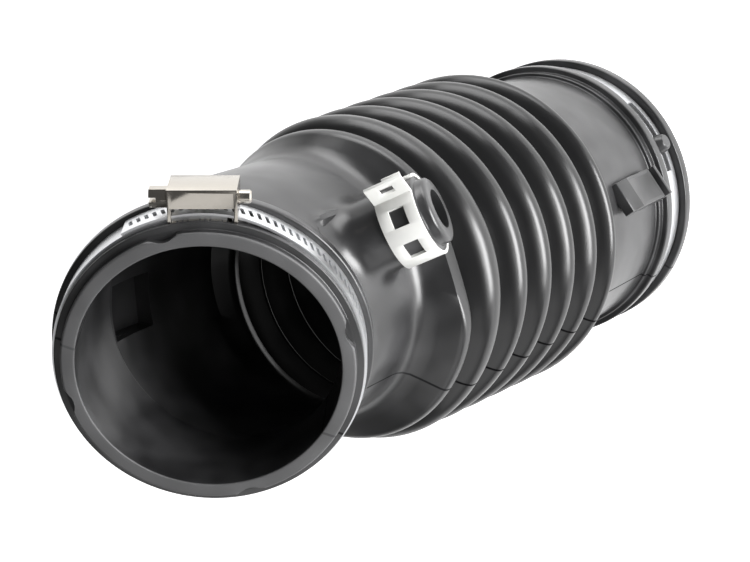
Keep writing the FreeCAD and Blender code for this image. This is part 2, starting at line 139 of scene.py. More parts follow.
# Spigot, rib, pocket, lug and button on the moulding. The nose is radius and depth from the mouth
SPIGOT_MOUTH = Vector((54.5, 39.7, 191.0))
SPIGOT_TILT = math.radians(111)
SPIGOT_AZIMUTH = math.radians(28)
SPIGOT_AXIS = Vector((math.sin(SPIGOT_TILT) * math.cos(SPIGOT_AZIMUTH),
                      math.sin(SPIGOT_TILT) * math.sin(SPIGOT_AZIMUTH), math.cos(SPIGOT_TILT)))
SPIGOT_R = 12.0
SPIGOT_BLEND = 6.0
SPIGOT_SINK = 4.0
SPIGOT_BORE_R = 6.2
SPIGOT_BORE_LENGTH = 32.0
SPIGOT_NOSE = ((8.6, 0), (9.6, 0.2), (10.2, 0.7), (10.4, 1.4), (10.4, 3.0), (10.6, 3.3),
               (SPIGOT_R - 0.3, 3.5), (SPIGOT_R, 3.8))
RIB_ANGLE = math.radians(49)
RIB_HEIGHT = 2.2
RIB_WIDTH = 1.9
RIB_FOOT_SHARE = 1.35
RIB_TAPER = 0.6
RIB_FADE = 7.0
RIB_END = 221.0
POCKET_ANGLE = math.radians(-176)
POCKET_SIZE = (18.0, 20.0)
POCKET_Z = 225.0
POCKET_R = 45.5
POCKET_WALL = 2.5
LUG_ANGLE = math.radians(39)
LUG_REACH = 53.4
LUG_ROOT_R = LUG_REACH - 6.0
LUG_TOP_R = LUG_REACH - 2.0
LUG_NEAR = 14.5
LUG_FAR = 27.0
LUG_BOTTOM = 32.0
LUG_TOP = 51.0
LUG_SLOPE = 6.0
LUG_FRAME = 1.6
LUG_SINK = 0.7
LUG_PLATE_Z = 27.4
LUG_PLATE_T = 2.2
LUG_PLATE_PROUD = 1.0
BUTTON_ANGLE = math.radians(31)
BUTTON_STEM_R = 1.6
BUTTON_HEAD_R = 3.9
BUTTON_HEAD_T = 3.2
BUTTON_SINK = 1.0
BUTTON_EDGE = 0.3
BUTTON_TAPER = 0.7
BUTTON_CROWN_IN = 1.2
BUTTON_CROWN_H = 0.5

# Finish of the rubber: sizes in mm, the rest as shares
SEAM_ANGLE = math.radians(-25.5)
SEAM_WIDTH = 0.5
GRAIN_SIZE = 0.5
GRAIN_DEPTH = 0.05
GRAIN_STRENGTH = 0.12
WAVE_SIZE = 14.0
WAVE_DEPTH = 0.8
WAVE_STRENGTH = 0.5
BLOTCH_NOISE = (0.35, 0.65)
BLOTCH_LEAST = 0.3
# Painted light: how far beyond the folds the lighter grey painted on the plain parts fades in
PAINTED_LIGHT_FADE = 8.0
RUBBER_GLEAM = 0.7
TRIM_DEPTH = 0.6
TRIM_ROUGHNESS = 0.55

# Worm clamps, each about its own axis with the closure towards local Y
BAND_T = 0.8
LAYER_GAP = 0.05
TAIL_ANGLE = math.radians(30)
RISE_ANGLE = math.radians(34)
SLOT_W = 1.1
SLOT_LENGTH = 3.8
SLOT_SLANT = math.radians(16)
SLOT_CUT_SHARE = 1.5
PEG_SLOT_SWEEP = math.radians(34)
PEG_SLOT_W = 3.8
PEG_SLOT_ANGLE = math.radians(36)
REAR_CLOSURE_ANGLE = math.radians(205)
FRONT_BAND_W = 9.5
REAR_BAND_W = 9.4
FRONT_BAND_BACK = 14.25
BRIDGE_LENGTH = 19.4
BRIDGE_T = 1.0
BRIDGE_LEG = 1.2
SKIRT_T = 0.8
SKIRT_DROP = 1.4
WORM_R = 2.8
WORM_GAP = 0.3
JOURNAL_R = 1.9
HEAD_AF = 5.5
HEAD_LENGTH = 5.2
HEAD_SLOT_W = 1.2
HEAD_SLOT_D = 2.1
SHAFT_SINK = 1.0
TIP_LENGTH = 3.6
TIP_CHAMFER = 0.5
SCREW_RISE = 2 * BAND_T + LAYER_GAP + WORM_GAP + WORM_R

# Finish of the clamps
STREAK_SIZE = 2.0
STREAK_SPREAD = 0.12
BAND_ROUGHNESS = 0.3
PLATE_ROUGHNESS = 0.16
COATING_ROUGHNESS = 0.38

# Fineness of the meshes: steps and welds in mm, and how far a cutter reaches past what it cuts
ROUND_STEPS = 4
ROUND_SHARE = 0.45
OUTER_STEP = 2.5
INNER_STEP = 4.0
SPIGOT_SEGMENTS = 96
BLEND_STEPS = 8
ROOM_SEGMENTS = 180
BORE_SEGMENTS = 64
TURNED_SEGMENTS = 48
BAND_STEPS = 420
PEG_SLOT_STEPS = 24
BEVEL_SEGMENTS = 2
BEVEL_ANGLE = math.radians(35)
RUBBER_SHARP = math.radians(38)
METAL_SHARP = math.radians(30)
RING_WELD = 0.002
NODE_WELD = 0.004
FLAT_ANGLE = math.radians(0.4)
CUT_PAST = 1.0

# Camera and stage, in mm
CAMERA_PLACE = Vector((294.4, 153.6, 586.7))
CAMERA_FORWARD = Vector((-0.531, -0.283, -0.799))
CAMERA_RIGHT = Vector((0.833, 0, -0.554))
LENS_MM = 76.8
SENSOR_MM = 36.0
FLOOR_SIZE = 40000.0
LIGHT_TARGET = Vector((10, 0, 150))
LIGHT_PLACES = {
    "key": Vector((-110, 800, 240)), "front": Vector((345, -525, 586)), "side": Vector((912, 190, 270))}
LIGHT_SIZES = {"key": (700, 380), "front": (600, 600), "side": (700, 440)}


def linear(code):
    """Linear colour of an sRGB hex code."""
    levels = [int(code[i:i + 2], 16) / 255 for i in (1, 3, 5)]
    return tuple(v / 12.92 if v <= 0.04045 else ((v + 0.055) / 1.055) ** 2.4 for v in levels)


class PipeSettings(bpy.types.PropertyGroup):
    """Sizes and finish of the moulded pipe."""

    segments: IntProperty(name="Segments", description="Faces around the pipe", default=180, min=48)
    crest_round: FloatProperty(
        name="Crest rounding", description="Rounding of each fold's outer corners",
        default=2.0 * MM, unit="LENGTH")
    valley_round: FloatProperty(
        name="Valley rounding", description="Rounding at the foot of each fold",
        default=1.2 * MM, unit="LENGTH")
    edge_round: FloatProperty(
        name="Edge rounding", description="Rounding of beads and lips",
        default=0.8 * MM, unit="LENGTH")
    colour: FloatVectorProperty(
        name="Rubber colour", description="Colour of the moulded rubber",
        default=linear("#0f0f10"), subtype="COLOR", min=0, max=1)
    # Painted light: a lighter grey painted on the plain parts beyond the folds, which leaves the folds darker
    # as painted shade
    painted_light: FloatVectorProperty(
        name="Painted light colour", description="Colour of the greyer bloom on the plain parts beyond the folds",
        default=linear("#323233"), subtype="COLOR", min=0, max=1)
    # Painted light: the lip face's lighter grey stands in for the light that falls on it; its matt roughness
    # is its own
    brightly_lit: FloatVectorProperty(
        name="Lip colour", description="Colour of the trimmed lip face",
        default=linear("#505051"), subtype="COLOR", min=0, max=1)
    roughness: FloatProperty(
        name="Rubber roughness", description="Roughness of the rubber skin",
        default=0.3, subtype="FACTOR", min=0, max=1)


class ClampSettings(bpy.types.PropertyGroup):
    """Sizes and finish of the clamps."""

    edge: FloatProperty(
        name="Edge break", description="Bevel on the pressed metal",
        default=0.12 * MM, unit="LENGTH")
    thread_pitch: FloatProperty(
        name="Thread pitch", description="Advance of the worm thread per turn",
        default=2.4 * MM, unit="LENGTH")
    thread_r: FloatProperty(
        name="Thread section", description="Radius of the worm thread's own section",
        default=0.55 * MM, unit="LENGTH")
    front_slots: IntProperty(
        name="Front slots", description="Worm slots in the front band", default=44, min=1)
    rear_slots: IntProperty(
        name="Rear slots", description="Worm slots in the rear band", default=16, min=1)
    steel: FloatVectorProperty(
        name="Clamp steel", description="Colour of the bright band steel",
        default=linear("#e2e3e5"), subtype="COLOR", min=0, max=1)
    plate: FloatVectorProperty(
        name="Plated steel", description="Colour of the nickel plate on housings and screws",
        default=linear("#b3aea6"), subtype="COLOR", min=0, max=1)
    coating: FloatVectorProperty(
        name="Coating", description="Colour of the coated spring clamp",
        default=linear("#cfcfcc"), subtype="COLOR", min=0, max=1)


class StageSettings(bpy.types.PropertyGroup):
    """Light and floor."""

    floor: FloatVectorProperty(
        name="Floor colour", description="Colour of the white sweep",
        default=linear("#f9f9f9"), subtype="COLOR", min=0, max=1)
    world: FloatProperty(
        name="Fill", description="Brightness of the white room around the object",
        default=0.12, min=0)
    glow: FloatProperty(
        name="Floor glow", description="Light that the white sweep itself gives",
        default=0.9, min=0)
    key: FloatProperty(
        name="Key power", description="Power of the softbox above the picture",
        default=4.0, unit="POWER", min=0)
    front: FloatProperty(
        name="Front power", description="Power of the softbox below the picture",
        default=1.2, unit="POWER", min=0)
    side: FloatProperty(
        name="Side power", description="Power of the softbox at the picture's right",
        default=17.0, unit="POWER", min=0)


def smooth(value):
    """Eased step from 0 to 1."""
    value = min(max(value, 0.0), 1.0)
    return value * value * (3 - 2 * value)


def centre_line(station):
    """Centre and direction of the pipe at a station along it, in mm."""
    if station <= BEND_START:
        lean = min(max((station - BELLOWS_Z) / (SHOULDER_Z - BELLOWS_Z), 0), 1)
        jog = smooth((station - SHOULDER_Z - SHOULDER_RIM) / (NECK_Z - SHOULDER_Z - SHOULDER_RIM))
        centre = SHOULDER_XY * lean * (1 - jog) + NECK_XY * jog + Z_UP * station
        weight = smooth((station - BELLOWS_Z) / CREST_PITCH) * smooth((SHOULDER_Z - station) / CREST_PITCH)
        return centre, Z_UP.lerp(LEAN, weight).normalized()
    start = NECK_XY + Z_UP * BEND_START
    turn = min((station - BEND_START) / BEND_RADIUS, BEND_TILT)
    axis = Z_UP * math.cos(turn) + BEND_OUT * math.sin(turn)
    centre = start + BEND_RADIUS * (BEND_OUT * (1 - math.cos(turn)) + Z_UP * math.sin(turn))
    return centre + axis * max(station - BEND_END, 0), axis


def across(axis):
    """Side and up directions square to an axis."""
    side = (Vector((1, 0, 0)) - axis * axis.x).normalized()
    return side, axis.cross(side)


def outward(angle):
    """Level direction at an angle from X."""
    return Vector((math.cos(angle), math.sin(angle), 0))


def rectangle(left, low, right, high):
    """Corners of a rectangle, in order."""
    return (left, low), (right, low), (right, high), (left, high)


def bend(first, corner, last, t):
    """Point of a curve that runs from first to last and is drawn towards a corner."""
    return first * (1 - t) ** 2 + corner * 2 * t * (1 - t) + last * t ** 2


def rounded(corners):
    """Profile through (radius, station, rounding) corners, each rounded by its own reach."""
    profile = [Vector(corners[0][:2])]
    for before, corner, after in zip(corners, corners[1:], corners[2:]):
        here = Vector(corner[:2])
        back = Vector(before[:2]) - here
        ahead = Vector(after[:2]) - here
        reach = min(corner[2], ROUND_SHARE * back.length, ROUND_SHARE * ahead.length)
        if reach <= 0:
            profile.append(here)
            continue
        first = here + back.normalized() * reach
        last = here + ahead.normalized() * reach
        profile += [bend(first, here, last, i / ROUND_STEPS) for i in range(ROUND_STEPS + 1)]
    profile.append(Vector(corners[-1][:2]))
    return profile


def stretched(profile, step):
    """The profile with long stretches split into steps along the pipe."""
    filled = [profile[0]]
    for a, b in zip(profile, profile[1:]):
        count = max(1, math.ceil(abs(b.y - a.y) / step))
        filled += [a.lerp(b, (i + 1) / count) for i in range(count)]
    return filled


def outer_corners(settings):
    """Outside of the moulding, rear end to lip."""
    edge = settings.edge_round / MM
    fine = edge / 2
    fold = settings.crest_round / MM
    valley = settings.valley_round / MM
    seat = END_BEAD_W + REAR_SEAT_W
    back = seat + BACK_BEAD_W
    corners = [
        (REAR_MEET_R, 0, 0), (END_BEAD_R, 0, edge), (END_BEAD_R, END_BEAD_W, edge),
        (REAR_SEAT_R, END_BEAD_W, fine), (REAR_SEAT_R, seat, fine),
        (BACK_BEAD_R, seat, edge), (BACK_BEAD_R, back, edge),
        (BACK_STEP_R, back, fine), (BACK_STEP_R, back + BACK_STEP_W, edge),
        (REAR_CUFF_R, back + BACK_STEP_W, edge), (REAR_CUFF_R, BELLOWS_Z - REAR_CUFF_BACK, REAR_CUFF_ROUND),
        (VALLEY_R, BELLOWS_Z, valley)]
    for i in range(CREST_COUNT):
        crest = CREST_R - CREST_TAPER * i
        middle = BELLOWS_Z + CREST_PITCH * (i + 0.5)
        corners += [
            (crest - CREST_FALL, middle - CREST_WIDTH / 2, fold),
            (crest, middle - CREST_FLAT / 2, fold), (crest, middle + CREST_FLAT / 2, fold),
            (crest - CREST_FALL, middle + CREST_WIDTH / 2, fold),
            (VALLEY_R - CREST_TAPER * (i + 1), middle + CREST_PITCH / 2, valley)]
    bead = BEND_END
    seat = bead + FRONT_BEAD_W
    corners += [
        (SHOULDER_R, SHOULDER_Z + SHOULDER_FOOT, SHOULDER_FOOT_ROUND),
        (SHOULDER_R, SHOULDER_Z + SHOULDER_RIM, SHOULDER_ROUND),
        (NECK_R, NECK_Z, NECK_ROUND), (NECK_R, BEND_START, 0), (FRONT_LEG_R, bead, edge),
        (FRONT_BEAD_R, bead, edge), (FRONT_BEAD_R, seat, edge),
        (FRONT_SEAT_R, seat, fine), (FRONT_SEAT_R, LIP_STATION - LIP_DEPTH, fine),
        (LIP_R, LIP_STATION - LIP_DEPTH, fine), (LIP_R, LIP_STATION, edge)]
    return corners


def inner_corners(settings):
    """Inside of the moulding, lip to rear end."""
    edge = settings.edge_round / MM
    valley = settings.valley_round / MM
    step = (BEND_START + BEND_END) / 2
    corners = [
        (FRONT_BORE_R, LIP_STATION, edge), (FRONT_BORE_R, step, BORE_STEP_ROUND),
        (NECK_BORE_R, step - BORE_STEP, BORE_STEP_ROUND),
        (NECK_BORE_R, SHOULDER_Z + SHOULDER_RIM, NECK_BORE_ROUND),
        (VALLEY_R - CREST_TAPER * CREST_COUNT - FOLD_WALL, SHOULDER_Z, valley)]
    for i in reversed(range(CREST_COUNT)):
        crest = CREST_R - CREST_TAPER * i - TIP_WALL
        middle = BELLOWS_Z + CREST_PITCH * (i + 0.5)
        corners += [
            (crest, middle + CREST_FLAT / 4, TIP_ROUND), (crest, middle - CREST_FLAT / 4, TIP_ROUND),
            (VALLEY_R - CREST_TAPER * i - FOLD_WALL, middle - CREST_PITCH / 2, valley)]
    corners += [(REAR_BORE_R, BELLOWS_Z - REAR_BORE_BACK, REAR_BORE_ROUND), (REAR_BORE_R, 0, edge),
                (REAR_MEET_R, 0, 0)]
    return corners


def wrapped(angle):
    """An angle brought to the range of minus to plus half a turn."""
    return (angle + math.pi) % (2 * math.pi) - math.pi


def shaped(point, station, radius):
    """A point of the outer skin with the rib, the shoulder's flat and the lip's scallops."""
    if SHOULDER_Z <= station <= RELIEF_END:
        out = outward(RELIEF_ANGLE)
        over = (point.dot(out) - RELIEF_R) / RELIEF_BLEND
        point = point - out * RELIEF_BLEND * math.log1p(math.exp(over))
    if SHOULDER_Z + SHOULDER_RIM < station < BEND_END:
        centre, axis = centre_line(station)
        side, up = across(axis)
        away = point - centre
        angle = math.atan2(away.dot(up), away.dot(side))
        along = (station - SHOULDER_Z) / (RIB_END - SHOULDER_Z)
        width = RIB_WIDTH * (RIB_FOOT_SHARE - RIB_TAPER * along)
        arc = wrapped(angle - RIB_ANGLE) * radius / width
        fade = smooth((RIB_END - station) / RIB_FADE)
        point = point + away.normalized() * RIB_HEIGHT * fade * math.exp(-arc * arc)
    if station > SCALLOP_START and radius > LIP_MEET_R:
        centre, axis = centre_line(station)
        away = point - centre
        angle = math.atan2(away.dot(FRONT_UP), away.dot(FRONT_SIDE)) - SCALLOP_ANGLE
        each = 2 * math.pi / SCALLOP_COUNT
        offset = LIP_R * (angle - each * round(angle / each))
        if abs(offset) < SCALLOP_R:
            bite = math.sqrt(SCALLOP_R ** 2 - offset ** 2) - (SCALLOP_R - SCALLOP_BITE)
            limit = LIP_R - max(bite, 0)
            if away.length > limit:
                point = centre + away.normalized() * limit + axis * away.dot(axis)
    return point


def mesh_object(name, bm):
    """A new object from a bmesh, with outward faces."""
    bmesh.ops.recalc_face_normals(bm, faces=bm.faces)
    mesh = bpy.data.meshes.new(name)
    bm.to_mesh(mesh)
    bm.free()
    obj = bpy.data.objects.new(name, mesh)
    bpy.context.scene.collection.objects.link(obj)
    return obj


def rings_mesh(name, rings, closed):
    """A skin over rings of points in mm, closed into a loop or capped at both ends."""
    bm = bmesh.new()
    rows = [[bm.verts.new(p * MM) for p in points] for points in rings]
    pairs = list(zip(rows, rows[1:]))
    if closed:
        pairs.append((rows[-1], rows[0]))
    else:
        bm.faces.new(rows[0])
        bm.faces.new(rows[-1])
    for low, high in pairs:
        for i in range(len(low)):
            j = (i + 1) % len(low)
            bm.faces.new((low[i], low[j], high[j], high[i]))
    bmesh.ops.remove_doubles(bm, verts=bm.verts, dist=RING_WELD * MM)
    return mesh_object(name, bm)


def ring(centre, axis, radius, count):
    """Points of a circle about an axis."""
    side, up = across(axis)
    turns = [2 * math.pi * i / count for i in range(count)]
    return [centre + radius * (side * math.cos(t) + up * math.sin(t)) for t in turns]


def lathe(name, origin, axis, profile, count):
    """A turned solid from (radius, distance) points along an axis."""
    return rings_mesh(name, [ring(origin + axis * d, axis, r, count) for r, d in profile], False)


def prism(name, corners, sweep):
    """A solid swept from a flat outline."""
    bm = bmesh.new()
    face = bm.faces.new([bm.verts.new(c * MM) for c in corners])
    grown = bmesh.ops.extrude_face_region(bm, geom=[face])
    verts = [v for v in grown["geom"] if isinstance(v, bmesh.types.BMVert)]
    bmesh.ops.translate(bm, verts=verts, vec=sweep * MM)
    return mesh_object(name, bm)


def evaluated(obj):
    """Swaps an object's mesh for what its modifiers make of it."""
    mesh = bpy.data.meshes.new_from_object(obj.evaluated_get(bpy.context.evaluated_depsgraph_get()))
    obj.modifiers.clear()
    obj.data = mesh


def carve(obj, tool, operation):
    """Joins or cuts an object with a tool, which is used up."""
    modifier = obj.modifiers.new("carve", "BOOLEAN")
    modifier.operation = operation
    modifier.solver = "EXACT"
    modifier.object = tool
    evaluated(obj)
    bpy.data.objects.remove(tool)


def bevelled(obj, width):
    """Breaks an object's sharp edges."""
    modifier = obj.modifiers.new("edge", "BEVEL")
    modifier.width = width
    modifier.segments = BEVEL_SEGMENTS
    modifier.limit_method = "ANGLE"
    modifier.angle_limit = BEVEL_ANGLE
    evaluated(obj)


def joined(target, *others):
    """Adds other objects' meshes to a target's mesh."""
    bm = bmesh.new()
    for obj in (target,) + others:
        bm.from_mesh(obj.data)
    bm.to_mesh(target.data)
    bm.free()
    for obj in others:
        bpy.data.objects.remove(obj)


def shaded(obj, angle):
    """Smooth shading, with edges sharper than the angle kept."""
    obj.data.shade_smooth()
    obj.data.set_sharp_from_angle(angle=angle)


def finished(obj, body, nodes, surface):
    """Gives a piece its material and body, and hides the CAD nodes that it replaces."""
    obj.data.materials.clear()
    obj.data.materials.append(surface)
    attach(obj, body)
    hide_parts(*nodes)


def add(tree, kind, *values, **settings):
    """Adds a node, sets its options and inputs, and links the first output of any node given as a value."""
    node = tree.nodes.new(kind)
    for option in [key for key in settings if hasattr(node, key)]:
        setattr(node, option, settings.pop(option))
    pairs = list(zip(node.inputs, values))
    pairs += [(node.inputs[key.replace("_", " ")], value) for key, value in settings.items()]
    for socket, value in pairs:
        if isinstance(value, bpy.types.Node):
            value = value.outputs[0]
        if isinstance(value, bpy.types.NodeSocket):
            tree.links.new(value, socket)
        else:
            socket.default_value = value
    return node


def new_material(name):
    """A material with an empty node tree."""
    material = bpy.data.materials.new(name)
    material.use_nodes = True
    material.node_tree.nodes.clear()
    return material, material.node_tree


def rubber(settings):
    """Moulded rubber, carbon black, left with its mould's skin."""
    # A satin black whose uneven skin breaks up each highlight, with a lighter grey painted on the plain parts
    # beyond the folds as painted light, blotched by noise, which leaves the folds darker as painted shade,
    # a dull line where the mould closed, and a matt trimmed lip face whose lighter grey is painted light
    material, tree = new_material("moulded_rubber")
    place = add(tree, "ShaderNodeTexCoord").outputs["Object"]
    # The skin's grain is drawn coarser than it is, so that it shows
    grain = add(tree, "ShaderNodeTexNoise", Vector=place, Scale=1 / (GRAIN_SIZE * MM), Detail=3.0)
    bump = add(tree, "ShaderNodeBump", Strength=GRAIN_STRENGTH, Distance=GRAIN_DEPTH * MM, Height=grain)
    waves = add(tree, "ShaderNodeTexNoise", Vector=place, Scale=1 / (WAVE_SIZE * MM), Detail=1.0)
    bump = add(tree, "ShaderNodeBump", Strength=WAVE_STRENGTH, Distance=WAVE_DEPTH * MM, Height=waves,
               Normal=bump)

    across_seam = (math.sin(SEAM_ANGLE), -math.cos(SEAM_ANGLE), 0)
    offset = add(tree, "ShaderNodeVectorMath", place, across_seam, operation="DOT_PRODUCT").outputs["Value"]
    offset = add(tree, "ShaderNodeMath", offset, operation="ABSOLUTE")
    gleam = add(tree, "ShaderNodeMapRange", offset, SEAM_WIDTH / 2 * MM, SEAM_WIDTH * MM, 0.0, RUBBER_GLEAM)

    # Painted light: the plain parts beyond the folds get a lighter grey, blotched by noise, and the folds
    # keep the darker rubber as painted shade
    middle = (BELLOWS_Z + SHOULDER_Z) / 2 * MM
    folds = middle - BELLOWS_Z * MM
    height = add(tree, "ShaderNodeSeparateXYZ", place).outputs["Z"]
    beyond = add(tree, "ShaderNodeMath", height, middle, operation="SUBTRACT")
    beyond = add(tree, "ShaderNodeMath", beyond, operation="ABSOLUTE")
    plain = add(tree, "ShaderNodeMapRange", beyond, folds, folds + PAINTED_LIGHT_FADE * MM)
    blotch = add(tree, "ShaderNodeMapRange", waves, *BLOTCH_NOISE, BLOTCH_LEAST, 1.0)
    painted_light = add(tree, "ShaderNodeMath", plain, blotch, operation="MULTIPLY")
    change = Vector(settings.painted_light) - Vector(settings.colour)
    colour = add(tree, "ShaderNodeVectorMath", painted_light, change, settings.colour, operation="MULTIPLY_ADD")

    # Painted light on the lip face: a lighter grey where the lip was trimmed, with the trimmed face's own
    # higher roughness
    lip = centre_line(LIP_STATION)[0].dot(FRONT_AXIS)
    reach = add(tree, "ShaderNodeVectorMath", place, FRONT_AXIS, operation="DOT_PRODUCT").outputs["Value"]
    trim = add(tree, "ShaderNodeMapRange", reach, (lip - TRIM_DEPTH) * MM, (lip - TRIM_DEPTH / 3) * MM)
    change = Vector(settings.brightly_lit) - Vector(settings.painted_light)
    colour = add(tree, "ShaderNodeVectorMath", trim, change, colour, operation="MULTIPLY_ADD")
    rougher = TRIM_ROUGHNESS - settings.roughness
    roughness = add(tree, "ShaderNodeMath", trim, rougher, settings.roughness, operation="MULTIPLY_ADD")
    shader = add(tree, "ShaderNodeBsdfPrincipled", Base_Color=colour, Roughness=roughness,
                 Specular_IOR_Level=gleam, Normal=bump)
    add(tree, "ShaderNodeOutputMaterial", shader)
    return material


def bright_steel(name, colour, roughness):
    """Rolled stainless strip, or pressed steel under nickel plate."""
    # Bright metal whose gloss varies a little along it, so that reflections are not mirror clean
    material, tree = new_material(name)
    place = add(tree, "ShaderNodeTexCoord").outputs["Object"]
    streaks = add(tree, "ShaderNodeTexNoise", Vector=place, Scale=1 / (STREAK_SIZE * MM), Detail=4.0)
    spread = add(tree, "ShaderNodeMapRange", Value=streaks, To_Min=roughness,
                 To_Max=roughness + STREAK_SPREAD)
    shader = add(tree, "ShaderNodeBsdfPrincipled", Base_Color=(*colour, 1), Metallic=1.0, Roughness=spread)
    add(tree, "ShaderNodeOutputMaterial", shader)
    return material


def coated_steel(settings):
    """Spring steel under a pale baked coating."""
    # Near white with a soft sheen, and no metal showing
    material, tree = new_material("coated_spring_steel")
    shader = add(tree, "ShaderNodeBsdfPrincipled", Base_Color=(*settings.coating, 1),
                 Roughness=COATING_ROUGHNESS)
    add(tree, "ShaderNodeOutputMaterial", shader)
    return material


def new_tree(name, inputs):
    """A geometry node tree with named inputs, and its group input's sockets by name."""
    tree = bpy.data.node_groups.new(name, "GeometryNodeTree")
    tree.interface.new_socket("Geometry", in_out="OUTPUT", socket_type="NodeSocketGeometry")
    for key, kind in inputs.items():
        tree.interface.new_socket(key, in_out="INPUT", socket_type="NodeSocket" + kind)
    return tree, add(tree, "NodeGroupInput").outputs


def end_tree(tree, geometry, surface):
    """Realizes the instances, sets the material and ends the tree."""
    real = add(tree, "GeometryNodeRealizeInstances", geometry)
    add(tree, "NodeGroupOutput", add(tree, "GeometryNodeSetMaterial", real, Material=surface))
    return tree


def on_circle(tree, radius, angle):
    """Point at a radius and angle in the tree's XY plane."""
    ends = []
    for part in ("COSINE", "SINE"):
        share = add(tree, "ShaderNodeMath", angle, operation=part)
        ends.append(add(tree, "ShaderNodeMath", radius, share, operation="MULTIPLY"))
    return add(tree, "ShaderNodeCombineXYZ", *ends)


def strip_radius(tree, given, angle):
    """Radius of a band's middle layer at an angle, with its climb over its own end."""
    rise = add(tree, "ShaderNodeMapRange", angle, given["Climb"], given["Start"],
               interpolation_type="SMOOTHSTEP")
    flat = add(tree, "ShaderNodeMath", given["Thickness"], 0.5, given["Radius"], operation="MULTIPLY_ADD")
    return add(tree, "ShaderNodeMath", rise, given["Lift"], flat, operation="MULTIPLY_ADD")


def band_tree():
    """A strip that runs once round, climbs over its own end, and has a row of slots from its tail."""
    tree, given = new_tree("slotted_band", {
        "Radius": "Float", "Thickness": "Float", "Width": "Float", "Lift": "Float", "Start": "Float",
        "Climb": "Float", "Tail": "Float", "Slots": "Int", "Slot Pitch": "Float", "Slot Width": "Float",
        "Slot Length": "Float", "Slot Slant": "Float", "Steel": "Material"})
    begin = add(tree, "ShaderNodeMath", given["Start"], 2 * math.pi, operation="SUBTRACT")
    sweep = add(tree, "ShaderNodeMath", given["Tail"], begin, operation="SUBTRACT")
    along = add(tree, "GeometryNodeSplineParameter").outputs["Factor"]
    angle = add(tree, "ShaderNodeMath", along, sweep, begin, operation="MULTIPLY_ADD")
    line = add(tree, "GeometryNodeCurvePrimitiveLine")
    line = add(tree, "GeometryNodeResampleCurve", line, Count=BAND_STEPS)
    course = on_circle(tree, strip_radius(tree, given, angle), angle)
    path = add(tree, "GeometryNodeSetPosition", line, Position=course)
    path = add(tree, "GeometryNodeSetCurveNormal", path, mode="Z_UP")
    section = add(tree, "GeometryNodeCurvePrimitiveQuadrilateral", Width=given["Thickness"],
                  Height=given["Width"])
    strip = add(tree, "GeometryNodeCurveToMesh", path, section, Fill_Caps=True)

    count = add(tree, "ShaderNodeMath", add(tree, "GeometryNodeInputIndex"), 1.0, operation="ADD")
    step = add(tree, "ShaderNodeMath", given["Slot Pitch"], given["Radius"], operation="DIVIDE")
    back = add(tree, "ShaderNodeMath", count, step, operation="MULTIPLY")
    angle = add(tree, "ShaderNodeMath", given["Tail"], back, operation="SUBTRACT")
    course = on_circle(tree, strip_radius(tree, given, angle), angle)
    points = add(tree, "GeometryNodePoints", given["Slots"], course)
    depth = add(tree, "ShaderNodeMath", given["Thickness"], SLOT_CUT_SHARE, operation="MULTIPLY")
    size = add(tree, "ShaderNodeCombineXYZ", depth, given["Slot Width"], given["Slot Length"])
    turn = add(tree, "ShaderNodeCombineXYZ", given["Slot Slant"], 0.0, angle)
    cutters = add(tree, "GeometryNodeInstanceOnPoints", points, Rotation=turn,
                  Instance=add(tree, "GeometryNodeMeshCube", size))
    slotted = add(tree, "GeometryNodeMeshBoolean", strip, cutters, operation="DIFFERENCE")
    return end_tree(tree, slotted, given["Steel"])


def thread_tree():
    """A helical ridge round a screw's core."""
    tree, given = new_tree("worm_thread", {
        "Radius": "Float", "Pitch": "Float", "Turns": "Float", "Section": "Float", "Steel": "Material"})
    height = add(tree, "ShaderNodeMath", given["Pitch"], given["Turns"], operation="MULTIPLY")
    helix = add(tree, "GeometryNodeCurveSpiral", Resolution=48, Rotations=given["Turns"],
                Start_Radius=given["Radius"], End_Radius=given["Radius"], Height=height)
    section = add(tree, "GeometryNodeCurvePrimitiveCircle", Resolution=8, Radius=given["Section"])
    ridge = add(tree, "GeometryNodeCurveToMesh", helix, section, Fill_Caps=True)
    return end_tree(tree, ridge, given["Steel"])


def from_tree(name, tree, values):
    """An object whose mesh is what a geometry node tree makes of its inputs."""
    obj = mesh_object(name, bmesh.new())
    modifier = obj.modifiers.new(tree.name, "NODES")
    modifier.node_group = tree
    for item in tree.interface.items_tree:
        if item.in_out == "INPUT":
            modifier[item.identifier] = values[item.name]
    evaluated(obj)
    return obj


def clamp_place(end):
    """Frame of a worm clamp: its axis along Z and its closure towards Y, in mm."""
    if end == "front":
        axis, up = FRONT_AXIS, FRONT_UP
        centre = centre_line(LIP_STATION - FRONT_BAND_BACK + FRONT_BAND_W / 2)[0]
    else:
        axis = Z_UP
        up = outward(REAR_CLOSURE_ANGLE)
        centre = Z_UP * (END_BEAD_W + REAR_SEAT_W / 2)
    turn = Matrix((up.cross(axis), up, axis)).transposed().to_4x4()
    return Matrix.Translation(centre * MM) @ turn


def node_copy(node, name):
    """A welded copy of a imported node's mesh, flat faces merged."""
    bm = bmesh.new()
    bm.from_mesh(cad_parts[node].data)
    bmesh.ops.remove_doubles(bm, verts=bm.verts, dist=NODE_WELD * MM)
    bmesh.ops.dissolve_limit(bm, angle_limit=FLAT_ANGLE, verts=bm.verts, edges=bm.edges)
    return mesh_object(name, bm)


